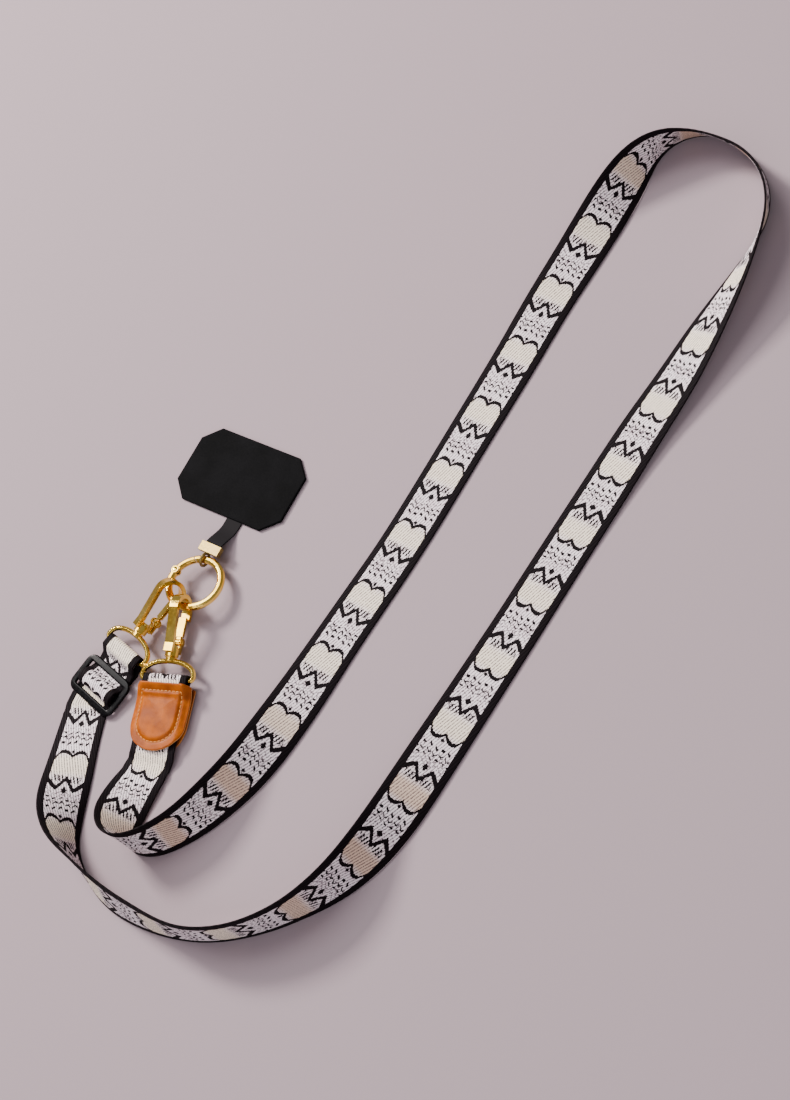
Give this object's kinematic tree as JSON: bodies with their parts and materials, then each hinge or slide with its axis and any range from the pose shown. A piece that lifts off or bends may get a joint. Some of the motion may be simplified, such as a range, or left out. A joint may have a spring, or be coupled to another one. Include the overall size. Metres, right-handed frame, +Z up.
{
  "type": "phone strap",
  "caption": "Patterned woven strap loop with swivel snap hooks on a gate ring, a leather end tab, an adjuster and a short tether with a flat pad, laid on a surface.",
  "frame": {"origin": "centre of the bounding box at the surface the strap lies on", "axes": "+Y along the strap loop's long runs, away from the hooks; +Z up"},
  "size_m": [0.2144, 0.4334, 0.022],
  "materials": {
    "webbing": "woven pattern",
    "leather": "smooth tan",
    "slider_plastic": "gloss",
    "gold": "polished pale gold plating",
    "clamp_metal": "satin",
    "tether_cloth": "woven",
    "pad_cloth": "smooth cloth"
  },
  "bodies": {
    "strap": {"webbing": "webbing", "leather_front": "leather", "leather_back": "leather", "slider": "slider_plastic", "eye_a": "gold", "eye_b": "gold", "ring": "gold", "tether_clamp": "clamp_metal", "tether_strap": "tether_cloth", "tether_pad": "pad_cloth"},
    "hook_a": {"hook_a": "gold"},
    "hook_a_gate": {"hook_gate_a": "gold"},
    "hook_b": {"hook_b": "gold"},
    "hook_b_gate": {"hook_gate_b": "gold"},
    "ring_gate": {"ring_gate": "gold"}
  },
  "joints": [
    {"name": "swivel_a", "type": "hinge", "parent": "strap", "child": "hook_a", "pos_m": [-0.07702, -0.10283, 0.00667], "axis": [0.2158, 0.9733, 0.0785], "range_deg": [-5, 20]},
    {"name": "swivel_b", "type": "hinge", "parent": "strap", "child": "hook_b", "pos_m": [-0.05612, -0.10671, 0.00682], "axis": [-0.3243, 0.9419, 0.0872], "range_deg": [-15, 10]},
    {"name": "gate_a", "type": "hinge", "parent": "hook_a", "child": "hook_a_gate", "pos_m": [-0.07416, -0.09686, 0.00379], "axis": [0.885, -0.2289, 0.4055], "range_deg": [0, 18], "stiffness_Nm_per_rad": 0.02, "springref_deg": -8.59},
    {"name": "gate_b", "type": "hinge", "parent": "hook_b", "child": "hook_b_gate", "pos_m": [-0.05824, -0.10056, 0.00368], "axis": [0.9455, 0.3256, 0], "range_deg": [0, 20], "stiffness_Nm_per_rad": 0.02, "springref_deg": -8.59},
    {"name": "ring_gate", "type": "hinge", "parent": "strap", "child": "ring_gate", "pos_m": [-0.07701, -0.07176, 0.00679], "axis": [0, 0.1392, 0.9903], "range_deg": [-25, 0], "stiffness_Nm_per_rad": 0.02, "springref_deg": 8.59}
  ]
}
